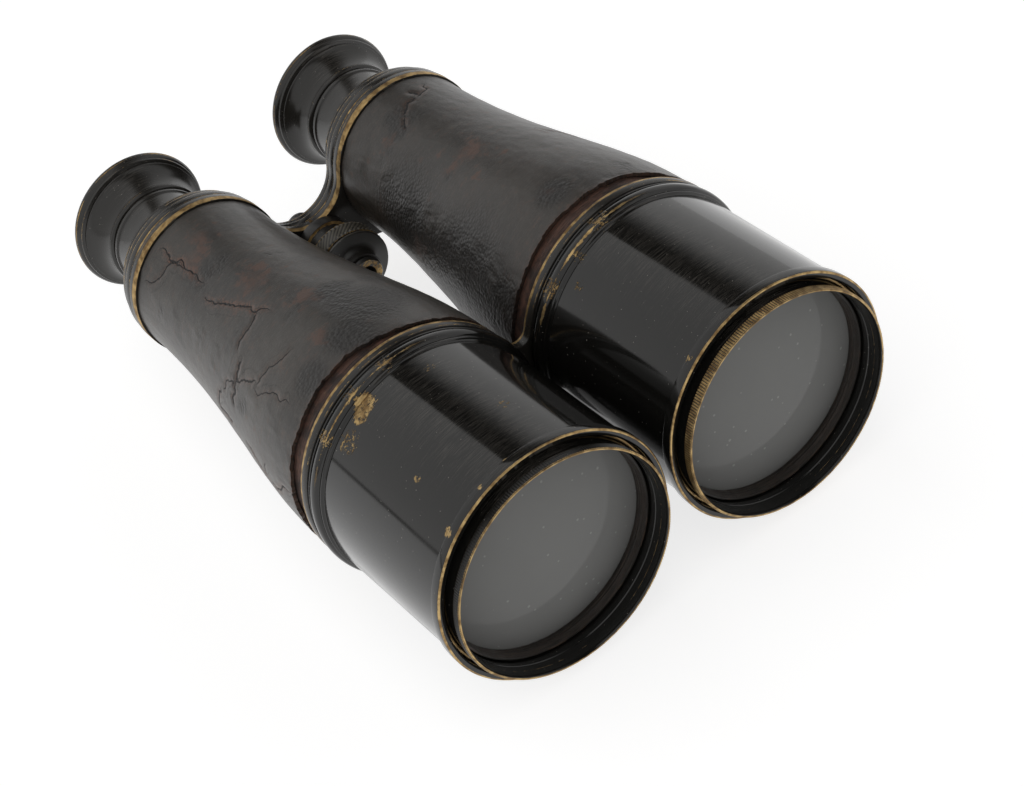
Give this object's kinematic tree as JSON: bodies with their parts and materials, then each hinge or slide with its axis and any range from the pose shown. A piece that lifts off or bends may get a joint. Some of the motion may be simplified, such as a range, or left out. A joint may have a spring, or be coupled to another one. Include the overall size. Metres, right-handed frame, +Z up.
{
  "type": "field binoculars",
  "caption": "Antique field binoculars: leather-covered brass barrels on bridge plates, sliding sunshades, turned eyecups and a central knurled focusing wheel.",
  "frame": {"origin": "on the surface that the binoculars lie on, under the middle of their length and width", "axes": "the optical axes run along Y, objectives facing -Y and eyecups facing +Y; +X is towards the left barrel, as the user looks through; +Z up"},
  "size_m": [0.127, 0.1914, 0.063],
  "materials": {
    "lacquer": "glossy black lacquer with hairline scratches and brass showing through",
    "bezel_lacquer": "glossy black lacquer with a brass-worn knurled rim",
    "worn_black": "satin blackened brass, rubbed on its edges",
    "bridge_brass": "black finish mostly rubbed away to dull brass",
    "wheel_black": "blackened knurled brass",
    "tube_brass": "blackened brass with a red-brown shellac band",
    "inner_brass": "satin turned brass",
    "inner_black": "matt optical black",
    "leather": "dark brown pebbled leather, dry, cracked and rubbed",
    "glass": "polished, dusty",
    "steel": "cut thread, oiled"
  },
  "bodies": {
    "body": {"barrel_tube_left": "tube_brass", "leather_cover_left": "leather", "stop_ring_left": "inner_black", "guide_bush_left": "inner_brass", "objective_cell_left": "bezel_lacquer", "objective_ring_left": "inner_black", "objective_crown_left": "glass", "objective_flint_left": "glass", "barrel_tube_right": "tube_brass", "leather_cover_right": "leather", "stop_ring_right": "inner_black", "guide_bush_right": "inner_brass", "objective_cell_right": "bezel_lacquer", "objective_ring_right": "inner_black", "objective_crown_right": "glass", "objective_flint_right": "glass", "front_bridge": "bridge_brass", "rear_bridge": "bridge_brass", "wheel_bearing": "inner_brass"},
    "focus_wheel": {"focus_wheel": "wheel_black", "wheel_retainer": "inner_brass"},
    "eyepiece_carriage": {"draw_tube_left": "inner_brass", "eyepiece_neck_left": "worn_black", "ocular_cell_left": "inner_brass", "ocular_lens_left": "glass", "ocular_ring_left": "inner_black", "eyecup_left": "worn_black", "draw_tube_right": "inner_brass", "eyepiece_neck_right": "worn_black", "ocular_cell_right": "inner_brass", "ocular_lens_right": "glass", "ocular_ring_right": "inner_black", "eyecup_right": "worn_black", "eyepiece_bridge": "worn_black", "focus_screw": "steel", "screw_nut": "worn_black"},
    "sunshade_left": {"sunshade_left": "lacquer"},
    "sunshade_right": {"sunshade_right": "lacquer"}
  },
  "joints": [
    {"name": "focus_turn", "type": "hinge", "parent": "body", "child": "focus_wheel", "pos_m": [0, 0.0436, 0.0215], "axis": [0, 1, 0], "range_deg": [0, 720]},
    {"name": "eyepiece_slide", "type": "slide", "parent": "body", "child": "eyepiece_carriage", "axis": [0, 1, 0], "range_m": [0, 0.012]},
    {"name": "sunshade_left_slide", "type": "slide", "parent": "body", "child": "sunshade_left", "axis": [0, -1, 0], "range_m": [0, 0.035]},
    {"name": "sunshade_right_slide", "type": "slide", "parent": "body", "child": "sunshade_right", "axis": [0, -1, 0], "range_m": [0, 0.035]}
  ],
  "couplings": [
    {"joint": "focus_turn", "follows": "eyepiece_slide", "rad_per_m": 1047.2}
  ]
}
